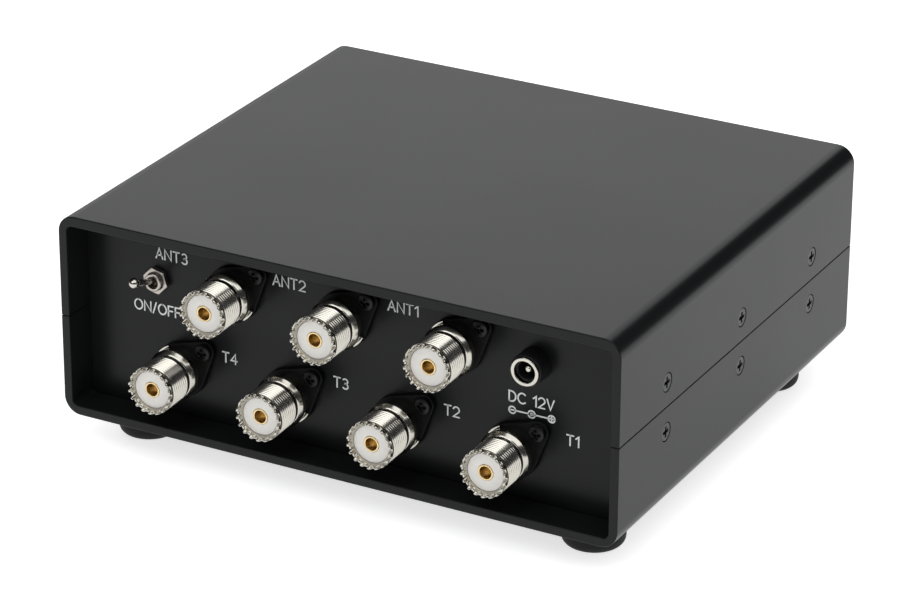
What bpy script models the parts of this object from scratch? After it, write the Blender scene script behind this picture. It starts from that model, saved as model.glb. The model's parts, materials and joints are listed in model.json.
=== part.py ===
"""Antenna tuner in a split aluminium case: seven coaxial sockets, a DC inlet and a power toggle on the
connector panel, a display and three push buttons on the control panel, two boards inside.

Metres, +Z up. The connector panel faces -Y and the control panel faces +Y. The origin is under the
middle of the whole object, on the surface that the feet stand on.
"""

import math

import bmesh
import bpy
from mathutils import Vector

MM = 0.001

# Case: two U-shaped halves of one rounded box, open at both ends.
CASE_WIDTH = 200 * MM
CASE_DEPTH = 175 * MM
CASE_HEIGHT = 70 * MM
CORNER_RADIUS = 6 * MM
INNER_RADIUS = 2 * MM
SIDE_WALL = 3 * MM
ROOF = 3.6 * MM
FLOOR = 3.2 * MM
SEAM_ABOVE_FLOOR = 34.65 * MM
SEAM_GAP = 0.3 * MM

# Feet
FOOT_HEIGHT = 11.2 * MM
FOOT_RADIUS = 10.3 * MM
FOOT_INSET_X = 18.6 * MM
FOOT_INSET_Y = 21.9 * MM

# Panels, held in grooves milled round the inside of both halves
PANEL_RECESS = 12 * MM
PANEL_THICKNESS = 2 * MM
PANEL_IN_GROOVE = 0.9 * MM
GROOVE_DEPTH = 1.2 * MM

# Coaxial sockets: heights are measured outwards from the face of the connector panel.
SOCKET_HEIGHT = 20.9 * MM
INSULATOR_HEIGHT = 18.2 * MM
CONTACT_HEIGHT = 18.5 * MM
COLLAR_HEIGHT = 9 * MM
THREAD_START = 9.9 * MM
SOCKET_PITCH = 40 * MM
SOCKET_ROW_Z = (19.5 * MM, 50.5 * MM)
FIRST_TRANSCEIVER_X = 58.2 * MM
FIRST_ANTENNA_X = 38.2 * MM
FLANGE_HOLE_OFFSET = 9.15 * MM
FLANGE_LOBE = 3.3 * MM
FLANGE_WAIST = 9.2 * MM
FLANGE_THICKNESS = 1.7 * MM

# Power toggle
SWITCH_X = -70.3 * MM
SWITCH_Z = 49 * MM
SWITCH_NUT_FLATS = 8 * MM
BUSH_HEIGHT = 3.8 * MM
LEVER_PIVOT_OUT = 2.2 * MM
LEVER_LENGTH = 14.4 * MM
LEVER_TILT = math.radians(18.5)

# DC inlet
JACK_X = 65.2 * MM
JACK_Z = 50.2 * MM
JACK_HEIGHT = 7.3 * MM

# Side screws: three above and three below the seam on each side
SIDE_SCREW_PITCH = 54.5 * MM
SIDE_SCREW_FROM_SEAM = 8.45 * MM
SCREW_HEAD_RADIUS = 3 * MM
SCREW_SHANK_RADIUS = 1.5 * MM
SCREW_HEAD_DEPTH = 1.6 * MM
SCREW_LENGTH = 8 * MM

# Side rails, which tie the two halves together and carry the main board in a slot
RAIL_THICKNESS = 5 * MM
RAIL_HEIGHT = 27 * MM
RAIL_SLOT_DEPTH = 2 * MM
BOARD_THICKNESS = 1.6 * MM

# Control panel
BUTTON_WIDTH = 15 * MM
BUTTON_HEIGHT = 8 * MM
BUTTON_RADIUS = 1.6 * MM
BUTTON_PROUD = 2.6 * MM
BUTTON_PITCH = 24 * MM
WINDOW_WIDTH = 66 * MM
WINDOW_HEIGHT = 24 * MM

# Clearances
FIT = 0.15 * MM
REST = 0.3 * MM

ROUND = 20
SMALL_ROUND = 12

# Places that follow from the sizes above
OVERHANG = SOCKET_HEIGHT - PANEL_RECESS
FRONT_Y = -(CASE_DEPTH + OVERHANG) / 2 + OVERHANG
BACK_Y = FRONT_Y + CASE_DEPTH
MIDDLE_Y = (FRONT_Y + BACK_Y) / 2
BASE_Z = FOOT_HEIGHT
SEAM_Z = BASE_Z + SEAM_ABOVE_FLOOR
TOP_Z = BASE_Z + CASE_HEIGHT
CONNECTOR_FACE_Y = FRONT_Y + PANEL_RECESS
CONTROL_FACE_Y = BACK_Y - PANEL_RECESS
INNER_X = CASE_WIDTH / 2 - SIDE_WALL
INNER_BOTTOM_Z = BASE_Z + FLOOR
INNER_TOP_Z = TOP_Z - ROOF
RAIL_INNER_X = INNER_X - REST - RAIL_THICKNESS
RAIL_LENGTH = CASE_DEPTH - 2 * (PANEL_RECESS + PANEL_THICKNESS + 2 * REST)
CONTROL_Z = BASE_Z + CASE_HEIGHT / 2
WINDOW_X = 38 * MM
BUTTONS_X = (-8 * MM, -8 * MM - BUTTON_PITCH, -8 * MM - 2 * BUTTON_PITCH)
CONTROL_BOARD_Y = CONTROL_FACE_Y - PANEL_THICKNESS - 7 * MM

OUT_OF_CONNECTOR_PANEL = Vector((0, -1, 0))
UP = Vector((0, 0, 1))


def clear_scene():
    for old in list(bpy.data.objects):
        bpy.data.objects.remove(old, do_unlink=True)


def finish(name, colour, roughness, metallic):
    """A Principled material; colour is sRGB from 0 to 255."""
    made = bpy.data.materials.new(name)
    made.use_nodes = True
    shader = made.node_tree.nodes["Principled BSDF"]
    linear = [pow((c / 255 + 0.055) / 1.055, 2.4) for c in colour]
    shader.inputs["Base Color"].default_value = (*linear, 1)
    shader.inputs["Roughness"].default_value = roughness
    shader.inputs["Metallic"].default_value = metallic
    made.diffuse_color = (*linear, 1)
    return made


def add(name, bm, look, place=(0, 0, 0)):
    """Turn a bmesh into a named object with one material, shaded smooth but for its edges."""
    bmesh.ops.recalc_face_normals(bm, faces=bm.faces)
    mesh = bpy.data.meshes.new(name)
    bm.to_mesh(mesh)
    bm.free()
    mesh.shade_smooth()
    mesh.set_sharp_from_angle(angle=math.radians(35))
    mesh.materials.append(look)
    made = bpy.data.objects.new(name, mesh)
    made.location = place
    bpy.context.collection.objects.link(made)
    return made


def as_tool(tool):
    """Hide a cutter or a joined piece, which is only there for a Boolean."""
    tool.hide_render = True
    tool.display_type = "WIRE"
    return tool


def boolean(target, tool, operation="DIFFERENCE"):
    modifier = target.modifiers.new(operation.lower(), "BOOLEAN")
    modifier.operation = operation
    modifier.solver = "EXACT"
    modifier.object = as_tool(tool)


def turned_mesh(profile, segments, direction):
    """Spin a section of (radius, distance along direction) points into a closed round solid.

    A section that starts and ends at radius 0 is solid to its axis; any other is closed into a ring.
    """
    bm = bmesh.new()
    points = [bm.verts.new((radius, 0, height)) for radius, height in profile]
    section = [bm.edges.new(pair) for pair in zip(points, points[1:])]
    if profile[0][0] > 0:
        section.append(bm.edges.new((points[-1], points[0])))
    bmesh.ops.spin(
        bm, geom=points + section, cent=(0, 0, 0), axis=UP, angle=math.tau, steps=segments
    )
    bmesh.ops.remove_doubles(bm, verts=bm.verts, dist=1e-7)
    turn = UP.rotation_difference(direction).to_matrix().to_4x4()
    bm.transform(turn)
    return bm


def turned(name, profile, look, place, direction=UP, segments=ROUND):
    return add(name, turned_mesh(profile, segments, direction), look, place)


def arc(centre, radius, start, end, steps):
    """Points on a circle about centre, from start to end in degrees, both ends included."""
    angles = [math.radians(start + (end - start) * i / steps) for i in range(steps + 1)]
    return [(centre[0] + radius * math.cos(a), centre[1] + radius * math.sin(a)) for a in angles]


def rounded_rectangle(width, height, radius, steps=3):
    """An outline about the origin, anticlockwise."""
    x = width / 2 - radius
    z = height / 2 - radius
    corners = ((x, z, 0), (-x, z, 90), (-x, -z, 180), (x, -z, 270))
    return [p for cx, cz, a in corners for p in arc((cx, cz), radius, a, a + 90, steps)]


def stacked_mesh(layers):
    """Join outlines of equal length, each (points in X and Z, y), into one closed solid."""
    bm = bmesh.new()
    rings = [[bm.verts.new((x, y, z)) for x, z in outline] for outline, y in layers]
    bm.faces.new(rings[0])
    bm.faces.new(rings[-1])
    for low, high in zip(rings, rings[1:]):
        for i in range(len(low)):
            j = (i + 1) % len(low)
            bm.faces.new((low[i], low[j], high[j], high[i]))
    return bm


def stacked(name, layers, look, place=(0, 0, 0)):
    return add(name, stacked_mesh(layers), look, place)


def box(name, low, high, look, bevel=0.0):
    """A box between two corners, with its edges broken if bevel is given."""
    bm = bmesh.new()
    bmesh.ops.create_cube(bm, size=1)
    size = Vector(high) - Vector(low)
    middle = (Vector(high) + Vector(low)) / 2
    bmesh.ops.scale(bm, vec=size, verts=bm.verts)
    if bevel:
        bmesh.ops.bevel(bm, geom=bm.edges, offset=bevel, segments=1, affect="EDGES")
    return add(name, bm, look, middle)


# Case ------------------------------------------------------------------------------------------


def half_outline(z_flat, z_seam, wall):
    """The U-shaped section of one half, in X and Z: z_flat is its outer flat face."""
    up = 1 if z_flat > z_seam else -1
    half = CASE_WIDTH / 2
    outer_z = z_flat - up * CORNER_RADIUS
    inner_z = z_flat - up * (wall + INNER_RADIUS)
    right = arc((half - CORNER_RADIUS, 0), CORNER_RADIUS, 0, 90, 6)
    inner_right = arc((INNER_X - INNER_RADIUS, 0), INNER_RADIUS, 90, 0, 2)
    outer = [(half, z_seam)] + [(x, outer_z + up * z) for x, z in right]
    outer += [(-x, z) for x, z in reversed(outer)]
    inner = [(x, inner_z + up * z) for x, z in inner_right] + [(INNER_X, z_seam)]
    inner = [(-x, z) for x, z in reversed(inner)] + inner
    return outer + inner


def side_screw_places():
    """(name, side, y, z) of each side screw; side is 1 on +X and -1 on -X."""
    places = []
    for side, side_name in ((1, "right"), (-1, "left")):
        for row, row_name in ((1, "upper"), (-1, "lower")):
            for step, step_name in ((-1, "front"), (0, "middle"), (1, "rear")):
                name = f"side_screw_{side_name}_{row_name}_{step_name}"
                y = MIDDLE_Y + step * SIDE_SCREW_PITCH
                z = SEAM_Z + row * SIDE_SCREW_FROM_SEAM
                places.append((name, side, y, z))
    return places


def screw_section(gap, length):
    """A countersunk screw from its flat head down; gap widens it into its own hole."""
    head = SCREW_HEAD_RADIUS + gap
    shank = SCREW_SHANK_RADIUS + gap
    return [
        (0, 0),
        (head, 0),
        (head, 0.25 * MM),
        (shank, SCREW_HEAD_DEPTH + gap),
        (shank, length),
        (0, length),
    ]


def drill_side_screws(target, wanted, look):
    """Cut every wanted side screw's hole, with its countersink, through the target."""
    for name, side, y, z in side_screw_places():
        if not wanted(side, z):
            continue
        hole = [(0, -MM)] + [(SCREW_HEAD_RADIUS + FIT, -MM)] + screw_section(FIT, 12 * MM)[1:]
        place = (side * CASE_WIDTH / 2, y, z)
        boolean(target, turned("hole_for_" + name, hole, look, place, Vector((-side, 0, 0)), 12))


def make_half(name, z_flat, z_seam, wall, look):
    outline = half_outline(z_flat, z_seam, wall)
    half = stacked(name, [(outline, FRONT_Y), (outline, BACK_Y)], look)
    reach = INNER_X + GROOVE_DEPTH
    low_z = INNER_BOTTOM_Z - GROOVE_DEPTH
    high_z = INNER_TOP_Z + GROOVE_DEPTH
    fronts = (CONNECTOR_FACE_Y, CONTROL_FACE_Y - PANEL_THICKNESS)
    for number, front in enumerate(fronts):
        low = (-reach, front - REST, low_z)
        high = (reach, front + PANEL_THICKNESS + REST, high_z)
        boolean(half, box(f"groove_{number}_{name}", low, high, look))
    drill_side_screws(half, lambda side, z: (z > SEAM_Z) == (z_flat > z_seam), look)
    return half


def make_side_rail(name, side, look):
    outer_x = side * (INNER_X - REST)
    inner_x = side * RAIL_INNER_X
    half_height = RAIL_HEIGHT / 2
    low = (min(outer_x, inner_x), MIDDLE_Y - RAIL_LENGTH / 2, SEAM_Z - half_height)
    high = (max(outer_x, inner_x), MIDDLE_Y + RAIL_LENGTH / 2, SEAM_Z + half_height)
    rail = box(name, low, high, look)
    slot_half = BOARD_THICKNESS / 2 + FIT
    slot_x = (inner_x - side * MM, inner_x + side * RAIL_SLOT_DEPTH)
    slot_low = (min(slot_x), low[1] - MM, SEAM_Z - slot_half)
    slot_high = (max(slot_x), high[1] + MM, SEAM_Z + slot_half)
    boolean(rail, box("slot_in_" + name, slot_low, slot_high, look))
    drill_side_screws(rail, lambda screw_side, z: screw_side == side, look)
    return rail


def make_side_screws(look):
    for name, side, y, z in side_screw_places():
        place = (side * CASE_WIDTH / 2, y, z)
        section = screw_section(0, SCREW_LENGTH)
        turned(name, section, look, place, Vector((-side, 0, 0)), 12)


def make_feet(look):
    section = [
        (0, FOOT_HEIGHT - REST),
        (FOOT_RADIUS - 0.8 * MM, FOOT_HEIGHT - REST),
        (FOOT_RADIUS, FOOT_HEIGHT - REST - 0.8 * MM),
        (FOOT_RADIUS, 2.6 * MM),
        (FOOT_RADIUS - 0.5 * MM, 0.9 * MM),
        (FOOT_RADIUS - 1.7 * MM, 0),
        (0, 0),
    ]
    for side, side_name in ((-1, "left"), (1, "right")):
        for y, end_name in ((FRONT_Y + FOOT_INSET_Y, "front"), (BACK_Y - FOOT_INSET_Y, "rear")):
            x = side * (CASE_WIDTH / 2 - FOOT_INSET_X)
            turned(f"foot_{end_name}_{side_name}", section, look, (x, y, 0))


# Connector panel -------------------------------------------------------------------------------


def panel_blank(name, face_y, outward, look):
    width = 2 * (INNER_X + PANEL_IN_GROOVE)
    low_z = INNER_BOTTOM_Z - PANEL_IN_GROOVE
    high_z = INNER_TOP_Z + PANEL_IN_GROOVE
    back_y = face_y - outward * PANEL_THICKNESS
    low = (-width / 2, min(face_y, back_y), low_z)
    high = (width / 2, max(face_y, back_y), high_z)
    return box(name, low, high, look)


def socket_places():
    """(name, x, z) of each coaxial socket."""
    lower, upper = (BASE_Z + z for z in SOCKET_ROW_Z)
    places = []
    for i in range(3):
        places.append((f"antenna_socket_{i + 1}", FIRST_ANTENNA_X - i * SOCKET_PITCH, upper))
    for i in range(4):
        places.append(
            (f"transceiver_socket_{i + 1}", FIRST_TRANSCEIVER_X - i * SOCKET_PITCH, lower)
        )
    return places


def flange_outline():
    """Two screw lobes on the rising diagonal, joined by tangents to a round waist."""
    reach = math.hypot(FLANGE_HOLE_OFFSET, FLANGE_HOLE_OFFSET)
    swing = math.degrees(math.acos((FLANGE_WAIST - FLANGE_LOBE) / reach))
    hole = FLANGE_HOLE_OFFSET
    outline = arc((hole, hole), FLANGE_LOBE, 45 - swing, 45 + swing, 6)
    outline += arc((0, 0), FLANGE_WAIST, 45 + swing, 225 - swing, 6)
    outline += arc((-hole, -hole), FLANGE_LOBE, 225 - swing, 225 + swing, 6)
    outline += arc((0, 0), FLANGE_WAIST, 225 + swing, 405 - swing, 6)
    return outline


def make_socket(name, x, z, shell_look, insulator_look, contact_look):
    """A threaded socket: its body with flange, the white insulator and the centre contact."""
    place = (x, CONNECTOR_FACE_Y, z)
    top = SOCKET_HEIGHT
    bore = 6.3 * MM
    tail_bore = 3.2 * MM
    flange_top = REST + FLANGE_THICKNESS
    section = [
        (tail_bore, -6 * MM),
        (6.2 * MM, -6 * MM),
        (6.2 * MM, flange_top / 2),
        (7.6 * MM, flange_top / 2),
        (7.6 * MM, 4.3 * MM),
        (8.6 * MM, 4.3 * MM),
        (8.6 * MM, COLLAR_HEIGHT),
        (7.3 * MM, COLLAR_HEIGHT),
        (7.3 * MM, THREAD_START),
        (7.94 * MM, THREAD_START),
        (7.94 * MM, top),
        (bore, top),
        (bore, 6 * MM),
        (tail_bore, 6 * MM),
    ]
    body = turned(name + "_body", section, shell_look, place, OUT_OF_CONNECTOR_PANEL)
    plate = stacked_mesh([(flange_outline(), -flange_top), (flange_outline(), -REST)])
    flange = add("flange_of_" + name, plate, shell_look, place)
    relief = turned(
        "relief_in_" + name,
        [(0, 0), (6 * MM, 0), (6 * MM, 4 * MM), (0, 4 * MM)],
        shell_look,
        place,
        OUT_OF_CONNECTOR_PANEL,
    )
    boolean(flange, relief)
    boolean(body, flange, "UNION")
    insulator_section = [
        (2.65 * MM, 6.3 * MM),
        (bore - FIT, 6.3 * MM),
        (bore - FIT, INSULATOR_HEIGHT),
        (2.65 * MM, INSULATOR_HEIGHT),
    ]
    turned(name + "_insulator", insulator_section, insulator_look, place, OUT_OF_CONNECTOR_PANEL)
    contact_section = [
        (0, -12 * MM),
        (2 * MM, -12 * MM),
        (2 * MM, 3 * MM),
        (2.5 * MM, 3 * MM),
        (2.5 * MM, CONTACT_HEIGHT),
        (2 * MM, CONTACT_HEIGHT),
        (2 * MM, 5 * MM),
        (0, 5 * MM),
    ]
    turned(
        name + "_contact", contact_section, contact_look, place, OUT_OF_CONNECTOR_PANEL, SMALL_ROUND
    )


def drill(target, name, x, z, face_y, radius, outward, look, segments=ROUND):
    """Cut a round hole through a panel."""
    length = PANEL_THICKNESS + 2 * MM
    section = [(0, -MM), (radius, -MM), (radius, length), (0, length)]
    boolean(target, turned("hole_" + name, section, look, (x, face_y, z), -outward, segments))


def make_power_switch(metal, plastic):
    """A miniature toggle: bush and case, nut, and the lever, which turns about X at its pivot."""
    z = BASE_Z + SWITCH_Z
    place = (SWITCH_X, CONNECTOR_FACE_Y, z)
    bush_radius = 3 * MM
    bore = 2.15 * MM
    bush = [
        (0, -PANEL_THICKNESS - MM),
        (bush_radius, -PANEL_THICKNESS - MM),
        (bush_radius, BUSH_HEIGHT - 0.3 * MM),
        (bush_radius - 0.3 * MM, BUSH_HEIGHT),
        (bore, BUSH_HEIGHT),
        (bore, 0.4 * MM),
        (0, 0.4 * MM),
    ]
    body = turned("power_switch_body", bush, metal, place, OUT_OF_CONNECTOR_PANEL)
    behind = CONNECTOR_FACE_Y + PANEL_THICKNESS + REST
    case_low = (SWITCH_X - 4 * MM, behind, z - 6.5 * MM)
    case_high = (SWITCH_X + 4 * MM, behind + 10 * MM, z + 6.5 * MM)
    boolean(body, box("case_of_switch", case_low, case_high, plastic), "UNION")

    corner = SWITCH_NUT_FLATS / 2 / math.cos(math.radians(30))
    outline = [(0, REST), (corner, REST), (corner, 2.3 * MM), (0, 2.3 * MM)]
    nut = turned("power_switch_nut", outline, metal, place, OUT_OF_CONNECTOR_PANEL, 6)
    clearance = bush_radius + FIT
    bore_outline = [(0, -MM), (clearance, -MM), (clearance, 4 * MM), (0, 4 * MM)]
    boolean(nut, turned("nut_bore", bore_outline, metal, place, OUT_OF_CONNECTOR_PANEL))

    pivot = (SWITCH_X, CONNECTOR_FACE_Y - LEVER_PIVOT_OUT, z)
    ball = 1.6 * MM
    tip = 1.6 * MM
    neck = 0.95 * MM
    lever = [(ball * math.cos(a), ball * math.sin(a)) for a in map(math.radians, (-90, -45, 0, 40))]
    lever[0] = (0, -ball)
    lever += [(neck, ball * 1.15), (tip, LEVER_LENGTH - tip)]
    lever += [(tip * math.cos(a), LEVER_LENGTH - tip + tip * math.sin(a)) for a in (0.5, 1.05)]
    lever += [(0, LEVER_LENGTH)]
    along = Vector((0, -math.cos(LEVER_TILT), math.sin(LEVER_TILT)))
    turned("power_switch_lever", lever, metal, pivot, along, SMALL_ROUND)


def make_dc_jack(plastic, metal):
    """A barrel inlet: black housing, plated sleeve in its mouth and the centre pin."""
    place = (JACK_X, CONNECTOR_FACE_Y, BASE_Z + JACK_Z)
    mouth = 3.4 * MM
    sleeve = 4.8 * MM
    housing = [
        (0, -9 * MM),
        (5.4 * MM, -9 * MM),
        (5.4 * MM, JACK_HEIGHT - 1.2 * MM),
        (sleeve + FIT, JACK_HEIGHT - 0.8 * MM),
        (sleeve + FIT, -2 * MM),
        (1.3 * MM, -2 * MM),
        (1.3 * MM, -5 * MM),
        (0, -5 * MM),
    ]
    turned("dc_jack_body", housing, plastic, place, OUT_OF_CONNECTOR_PANEL)
    ring = [
        (mouth, -1.8 * MM),
        (sleeve, -1.8 * MM),
        (sleeve, JACK_HEIGHT),
        (mouth, JACK_HEIGHT),
    ]
    turned("dc_jack_sleeve", ring, metal, place, OUT_OF_CONNECTOR_PANEL)
    pin_radius = 1.05 * MM
    pin_top = JACK_HEIGHT - 2.2 * MM
    pin = [
        (0, -4.8 * MM),
        (pin_radius, -4.8 * MM),
        (pin_radius, pin_top - 0.5 * MM),
        (pin_radius - 0.5 * MM, pin_top),
        (0, pin_top),
    ]
    turned("dc_jack_pin", pin, metal, place, OUT_OF_CONNECTOR_PANEL, SMALL_ROUND)


def make_connector_panel(look):
    panel = panel_blank("connector_panel", CONNECTOR_FACE_Y, -1, look)
    for name, x, z in socket_places():
        drill(panel, name, x, z, CONNECTOR_FACE_Y, 6.5 * MM, OUT_OF_CONNECTOR_PANEL, look)
    holes = (
        ("switch", SWITCH_X, SWITCH_Z, 3 * MM + FIT),
        ("jack", JACK_X, JACK_Z, 5.4 * MM + FIT),
    )
    for name, x, z, radius in holes:
        drill(panel, name, x, BASE_Z + z, CONNECTOR_FACE_Y, radius, OUT_OF_CONNECTOR_PANEL, look)


# Control panel ---------------------------------------------------------------------------------


def make_control_panel(panel_look, window_look, board_look):
    panel = panel_blank("control_panel", CONTROL_FACE_Y, 1, panel_look)
    inside = CONTROL_FACE_Y - PANEL_THICKNESS
    through = (inside - MM, CONTROL_FACE_Y + MM)
    for number, x in enumerate(BUTTONS_X):
        hole = rounded_rectangle(BUTTON_WIDTH + 2 * REST, BUTTON_HEIGHT + 2 * REST, BUTTON_RADIUS)
        layers = [(hole, y) for y in through]
        boolean(panel, stacked(f"hole_button_{number}", layers, panel_look, (x, 0, CONTROL_Z)))
    opening = rounded_rectangle(WINDOW_WIDTH, WINDOW_HEIGHT, 2 * MM)
    layers = [(opening, y) for y in through]
    boolean(panel, stacked("hole_window", layers, panel_look, (WINDOW_X, 0, CONTROL_Z)))

    pane = rounded_rectangle(WINDOW_WIDTH - 2 * FIT, WINDOW_HEIGHT - 2 * FIT, 2 * MM - FIT)
    border = rounded_rectangle(WINDOW_WIDTH + 4 * MM, WINDOW_HEIGHT + 4 * MM, 3 * MM)
    layers = [
        (border, inside - REST - 1.2 * MM),
        (border, inside - REST),
        (pane, inside - REST),
        (pane, CONTROL_FACE_Y - REST),
    ]
    stacked("display_window", layers, window_look, (WINDOW_X, 0, CONTROL_Z))

    low = (-88 * MM, CONTROL_BOARD_Y - BOARD_THICKNESS, CONTROL_Z - 22 * MM)
    high = (88 * MM, CONTROL_BOARD_Y, CONTROL_Z + 22 * MM)
    box("control_board", low, high, board_look)


def make_buttons(look):
    """Three caps that slide along Y; each has a collar behind the panel and stops at the board."""
    cap = rounded_rectangle(BUTTON_WIDTH, BUTTON_HEIGHT, BUTTON_RADIUS)
    crown = rounded_rectangle(
        BUTTON_WIDTH - 1.2 * MM, BUTTON_HEIGHT - 1.2 * MM, BUTTON_RADIUS - 0.4 * MM
    )
    collar = rounded_rectangle(BUTTON_WIDTH + 3 * MM, BUTTON_HEIGHT + 3 * MM, BUTTON_RADIUS)
    inside = -PANEL_THICKNESS - REST
    layers = [
        (collar, inside - 1.4 * MM),
        (collar, inside),
        (cap, inside),
        (cap, BUTTON_PROUD - 0.5 * MM),
        (crown, BUTTON_PROUD),
    ]
    names = ("tune_button", "antenna_button", "transceiver_button")
    for name, x in zip(names, BUTTONS_X):
        stacked(name, layers, look, (x, CONTROL_FACE_Y, CONTROL_Z))


# Inside ----------------------------------------------------------------------------------------


def make_inside(board_look, core_look, relay_look):
    """The main board in the rails' slots, with its two inductor cores and three relays."""
    reach = RAIL_INNER_X + RAIL_SLOT_DEPTH - REST
    front = CONNECTOR_FACE_Y + PANEL_THICKNESS + 3 * MM
    back = CONTROL_BOARD_Y - BOARD_THICKNESS - 2 * MM
    low = (-reach, front, SEAM_Z - BOARD_THICKNESS / 2)
    high = (reach, back, SEAM_Z + BOARD_THICKNESS / 2)
    box("main_board", low, high, board_look)

    surface = SEAM_Z + BOARD_THICKNESS / 2 + REST
    outer = 16 * MM
    inner = 8 * MM
    tall = 12 * MM
    soft = 1.5 * MM
    ring = [
        (inner, soft),
        (inner + soft, 0),
        (outer - soft, 0),
        (outer, soft),
        (outer, tall - soft),
        (outer - soft, tall),
        (inner + soft, tall),
        (inner, tall - soft),
    ]
    for number, x in enumerate((-50 * MM, -8 * MM), start=1):
        turned(f"inductor_core_{number}", ring, core_look, (x, MIDDLE_Y + 18 * MM, surface))
    for number in range(3):
        x = (32 + 18 * number) * MM
        low = (x, MIDDLE_Y + 4 * MM, surface)
        high = (x + 12 * MM, MIDDLE_Y + 32 * MM, surface + 15 * MM)
        box(f"relay_{number + 1}", low, high, relay_look, 0.6 * MM)


def main():
    clear_scene()
    case_look = finish("anodised_case", (62, 64, 66), 0.5, 0.6)
    panel_look = finish("anodised_panel", (42, 44, 46), 0.45, 0.5)
    rubber = finish("black_rubber", (24, 24, 25), 0.8, 0)
    nickel = finish("bright_nickel", (205, 200, 190), 0.2, 1)
    white = finish("white_ptfe", (232, 232, 228), 0.4, 0)
    gold = finish("gold_plate", (205, 150, 70), 0.25, 1)
    screw_black = finish("black_oxide", (30, 30, 32), 0.45, 0.7)
    plastic = finish("black_plastic", (22, 22, 24), 0.5, 0)
    board = finish("green_board", (28, 84, 52), 0.5, 0)
    ferrite = finish("grey_ferrite", (70, 66, 64), 0.7, 0)
    relay = finish("relay_case", (32, 52, 96), 0.4, 0)
    window = finish("smoked_acrylic", (14, 16, 18), 0.1, 0)
    button = finish("button_plastic", (58, 60, 63), 0.5, 0)

    make_half("top_shell", TOP_Z, SEAM_Z + SEAM_GAP / 2, ROOF, case_look)
    make_half("bottom_shell", BASE_Z, SEAM_Z - SEAM_GAP / 2, FLOOR, case_look)
    make_side_rail("side_rail_left", -1, case_look)
    make_side_rail("side_rail_right", 1, case_look)
    make_side_screws(screw_black)
    make_feet(rubber)
    make_connector_panel(panel_look)
    for name, x, z in socket_places():
        make_socket(name, x, z, nickel, white, gold)
    make_power_switch(nickel, plastic)
    make_dc_jack(plastic, nickel)
    make_control_panel(panel_look, window, board)
    make_buttons(button)
    make_inside(board, ferrite, relay)


main()
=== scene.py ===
# %% [markdown]
# # An antenna tuner, dressed for the studio
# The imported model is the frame: it says where every solid is and how it moves. Everything below is the
# look of those solids: the anodised case, the nickel sockets with their real threads, rubber, gold and
# ink. All lengths are in metres, so a helper constant turns millimetres into the frame's unit.

# %% Load the frame
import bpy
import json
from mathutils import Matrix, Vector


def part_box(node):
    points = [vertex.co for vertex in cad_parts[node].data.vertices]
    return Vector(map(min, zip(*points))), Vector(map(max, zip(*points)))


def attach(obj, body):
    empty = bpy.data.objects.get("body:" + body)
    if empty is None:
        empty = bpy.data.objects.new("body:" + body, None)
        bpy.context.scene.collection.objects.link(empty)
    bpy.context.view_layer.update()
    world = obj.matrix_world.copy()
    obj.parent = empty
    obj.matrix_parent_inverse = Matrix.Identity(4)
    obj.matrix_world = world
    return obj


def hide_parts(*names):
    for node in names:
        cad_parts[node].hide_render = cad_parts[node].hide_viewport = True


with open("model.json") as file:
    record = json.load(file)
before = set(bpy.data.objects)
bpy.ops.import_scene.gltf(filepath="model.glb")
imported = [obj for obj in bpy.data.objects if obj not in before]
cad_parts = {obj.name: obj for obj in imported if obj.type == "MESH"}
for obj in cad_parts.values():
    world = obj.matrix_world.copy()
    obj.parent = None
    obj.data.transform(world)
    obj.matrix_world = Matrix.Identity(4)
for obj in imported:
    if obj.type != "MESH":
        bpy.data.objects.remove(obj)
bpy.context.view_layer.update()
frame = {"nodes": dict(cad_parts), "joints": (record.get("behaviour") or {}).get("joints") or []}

import json
import math

import bpy
import numpy as np
from mathutils import Matrix, Vector

MM = 0.001

# %% [markdown]
# ## Meshes from arrays
# Blender's own primitives are quick, but a turned barrel with a thread, or a box with a 0.4 mm broken
# edge, is easier to state as points on a grid. Three helpers do all of it. One numbers the four-sided
# faces of a grid, one closes a stack of rings, and one hands points and faces to Blender in whole arrays,
# which is much faster than adding them one at a time. A weighted-normal modifier keeps the big flats
# flat beside tiny rounds.


# %% Mesh helpers
def grid_faces(rows, columns, wrap_rows=False, wrap_columns=False):
    """Quads between neighbouring points of a grid that is numbered row by row."""
    row = np.arange(rows if wrap_rows else rows - 1)[:, None]
    column = np.arange(columns if wrap_columns else columns - 1)[None, :]
    next_row = (row + 1) % rows
    next_column = (column + 1) % columns
    corners = [
        row * columns + column,
        next_row * columns + column,
        next_row * columns + next_column,
        row * columns + next_column,
    ]
    return np.stack(corners, -1).reshape(-1, 4)


def end_faces(count, rings):
    """The first and the last outline of a stack of rings, one face each; the last runs backwards."""
    ends = np.stack([np.arange(count), np.arange(count) + count * (rings - 1)])
    ends[1] = ends[1][::-1]
    return ends


def make_piece(name, points, faces, finish, body, sharp=38):
    """A mesh object: points is (n, 3), faces is a list of index arrays, one row to a face."""
    mesh = bpy.data.meshes.new(name)
    points = np.asarray(points, np.float32)
    sizes = np.concatenate([np.full(len(f), np.shape(f)[1]) for f in faces])
    corners = np.concatenate([np.ravel(f) for f in faces]).astype(np.int32)
    starts = np.concatenate([[0], np.cumsum(sizes)[:-1]]).astype(np.int32)
    mesh.vertices.add(len(points))
    mesh.vertices.foreach_set("co", points.ravel())
    mesh.loops.add(len(corners))
    mesh.loops.foreach_set("vertex_index", corners)
    mesh.polygons.add(len(sizes))
    mesh.polygons.foreach_set("loop_start", starts)
    mesh.update(calc_edges=True)
    mesh.validate()
    mesh.shade_smooth()
    mesh.set_sharp_from_angle(angle=math.radians(sharp))
    piece = bpy.data.objects.new(name, mesh)
    bpy.context.scene.collection.objects.link(piece)
    if finish:
        mesh.materials.append(finish)
    if body:
        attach(piece, body)
    return piece


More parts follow.
